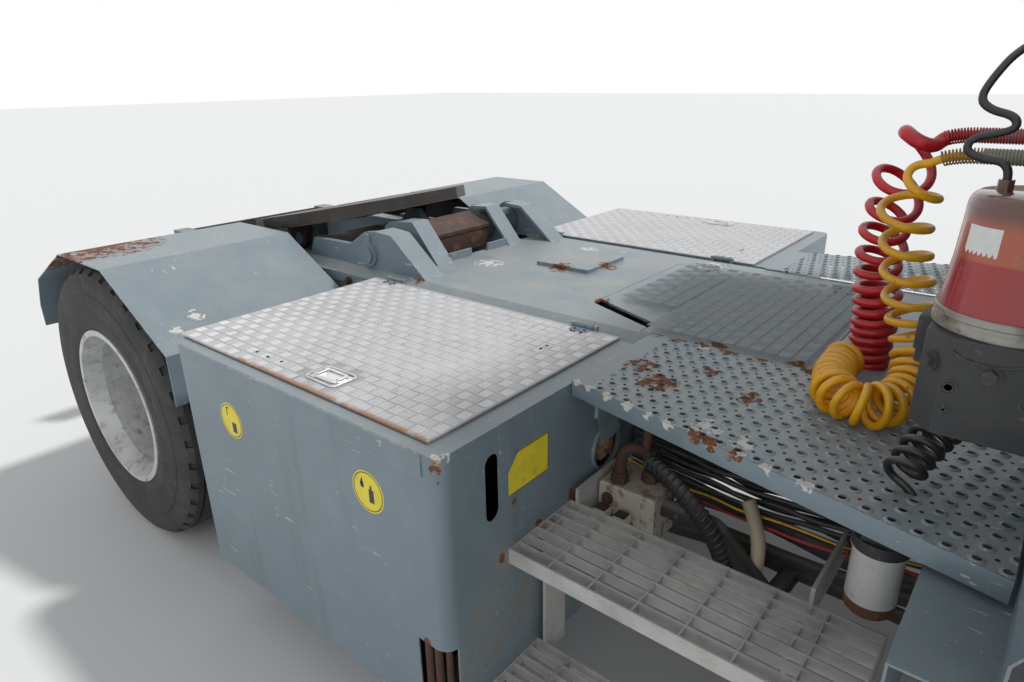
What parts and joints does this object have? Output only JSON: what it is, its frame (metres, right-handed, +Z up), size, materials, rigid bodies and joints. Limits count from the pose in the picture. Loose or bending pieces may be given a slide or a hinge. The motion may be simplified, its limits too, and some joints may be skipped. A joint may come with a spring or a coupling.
{
  "type": "terminal tractor",
  "caption": "Terminal tractor with a lifting fifth wheel on a boom, twin rear wheels, side boxes with tread-plate lids, perforated walkway and an offset cab.",
  "frame": {"origin": "middle of the footprint on the ground, under the middle of the overall box", "axes": "+X forward, +Y to the left, +Z up; ground at z = 0"},
  "size_m": [5.5, 2.5, 3.128],
  "materials": {
    "body_paint": "semi-gloss blue-grey coat with chips and dirt",
    "chassis_paint": "blue-grey coat, dusty",
    "tread_plate": "five-bar tread plate",
    "galvanised": "galvanised, dirty",
    "greasy_steel": "black grease over rusty cast steel",
    "rust_brown": "dark brown, greasy",
    "black_steel": "black coat",
    "chrome_rod": "hard chrome",
    "tyre": "worn tread, dusty",
    "rim_silver": "silver coat with rust",
    "glass": "clear, faintly green",
    "dark_plastic": "moulded, grained",
    "reservoir": "translucent red",
    "engine_grey": "cast, oily",
    "fabric_seat": "woven cover",
    "rubber_black": "ribbed hose",
    "red_hose": "polyamide tube",
    "yellow_hose": "polyamide tube",
    "black_cable": "polyurethane sheath",
    "lamp_lens": "clear and coloured lenses",
    "amber": "amber lens"
  },
  "bodies": {
    "chassis": {"batteries": "dark_plastic", "beacon": "amber", "bonnet": "body_paint", "boom_brackets": "body_paint", "bumper": "body_paint", "cab_glass": "glass", "cab_roof": "body_paint", "cab_shell": "body_paint", "cable_black": "black_cable", "cable_pump": "black_cable", "cross_members": "chassis_paint", "dashboard": "dark_plastic", "deck": "body_paint", "driveline": "engine_grey", "engine": "engine_grey", "exhaust": "galvanised", "fenders_front": "body_paint", "fenders_rear": "body_paint", "frame": "chassis_paint", "front_axle": "chassis_paint", "front_panel": "body_paint", "front_springs": "black_steel", "hose_carrier": "body_paint", "hose_red": "red_hose", "hose_yellow": "yellow_hose", "hydraulic_parts": "galvanised", "lamps": "lamp_lens", "lube_pump": "reservoir", "mirrors": "dark_plastic", "rear_axle": "chassis_paint", "seat": "fabric_seat", "side_boxes": "body_paint", "steering_column": "dark_plastic", "steps": "galvanised", "suction_hose": "rubber_black", "tanks": "black_steel", "walkway_left": "body_paint", "walkway_right": "body_paint"},
    "lid_right_body": {"lid_right": "tread_plate"},
    "lid_left_body": {"lid_left": "tread_plate"},
    "hatch_body": {"deck_hatch": "body_paint"},
    "boom_body": {"boom": "rust_brown"},
    "fifth_wheel_body": {"fifth_wheel": "greasy_steel"},
    "barrels_body": {"lift_barrels": "black_steel"},
    "rods_body": {"lift_rods": "chrome_rod"},
    "knuckle_left_body": {"knuckle_left": "black_steel"},
    "knuckle_right_body": {"knuckle_right": "black_steel"},
    "wheel_front_left": {"rim_front_left": "rim_silver", "tyre_front_left": "tyre"},
    "wheel_front_right": {"rim_front_right": "rim_silver", "tyre_front_right": "tyre"},
    "wheel_rear_left": {"rim_rear_left": "rim_silver", "tyre_rear_left": "tyre"},
    "wheel_rear_right": {"rim_rear_right": "rim_silver", "tyre_rear_right": "tyre"},
    "side_door": {"door_left": "body_paint", "door_left_glass": "glass"},
    "rear_door": {"door_rear": "body_paint", "door_rear_glass": "glass"}
  },
  "joints": [
    {"name": "steer_left", "type": "hinge", "parent": "chassis", "child": "knuckle_left_body", "pos_m": [1.4, 0.87, 0.525], "axis": [0, 0, 1], "range_deg": [-38, 38]},
    {"name": "steer_right", "type": "hinge", "parent": "chassis", "child": "knuckle_right_body", "pos_m": [1.4, -0.87, 0.525], "axis": [0, 0, 1], "range_deg": [-38, 38]},
    {"name": "spin_front_left", "type": "hinge", "parent": "knuckle_left_body", "child": "wheel_front_left", "pos_m": [1.4, 1.04, 0.525], "axis": [0, 1, 0], "continuous": true},
    {"name": "spin_front_right", "type": "hinge", "parent": "knuckle_right_body", "child": "wheel_front_right", "pos_m": [1.4, -1.04, 0.525], "axis": [0, 1, 0], "continuous": true},
    {"name": "spin_rear_left", "type": "hinge", "parent": "chassis", "child": "wheel_rear_left", "pos_m": [-1.8, 0.9, 0.525], "axis": [0, 1, 0], "continuous": true},
    {"name": "spin_rear_right", "type": "hinge", "parent": "chassis", "child": "wheel_rear_right", "pos_m": [-1.8, -0.9, 0.525], "axis": [0, 1, 0], "continuous": true},
    {"name": "boom_lift", "type": "hinge", "parent": "chassis", "child": "boom_body", "pos_m": [-1.217, 0, 1.039], "axis": [0, 1, 0], "range_deg": [0, 42]},
    {"name": "fifth_wheel_tilt", "type": "hinge", "parent": "boom_body", "child": "fifth_wheel_body", "pos_m": [-1.75, 0, 1.02], "axis": [0, 1, 0], "range_deg": [0, 12]},
    {"name": "barrel_swing", "type": "hinge", "parent": "chassis", "child": "barrels_body", "pos_m": [-1.58, 0, 0.36], "axis": [0, 1, 0], "range_deg": [-0.5, 7]},
    {"name": "rod_slide", "type": "slide", "parent": "barrels_body", "child": "rods_body", "axis": [-0.2169, 0, 0.9762], "range_m": [0, 0.3502]},
    {"name": "lid_right_hinge", "type": "hinge", "parent": "chassis", "child": "lid_right_body", "pos_m": [0, -0.477, 0.987], "axis": [-1, 0, 0], "range_deg": [0, 90]},
    {"name": "lid_left_hinge", "type": "hinge", "parent": "chassis", "child": "lid_left_body", "pos_m": [0, 0.477, 0.987], "axis": [1, 0, 0], "range_deg": [0, 90]},
    {"name": "hatch_hinge", "type": "hinge", "parent": "chassis", "child": "hatch_body", "pos_m": [0, 0.318, 0.994], "axis": [-1, 0, 0], "range_deg": [0, 90]},
    {"name": "side_door_hinge", "type": "hinge", "parent": "chassis", "child": "side_door", "pos_m": [1.637, 1.143, 1.9], "axis": [0, 0, -1], "range_deg": [0, 75]},
    {"name": "rear_door_slide", "type": "slide", "parent": "chassis", "child": "rear_door", "axis": [0, -1, 0], "range_m": [0, 0.56]}
  ],
  "couplings": [
    {"joint": "steer_right", "follows": "steer_left", "ratio": 1},
    {"joint": "barrel_swing", "follows": "boom_lift", "ratio": 0.16375},
    {"joint": "rod_slide", "follows": "boom_lift", "m_per_rad": 0.47762}
  ]
}
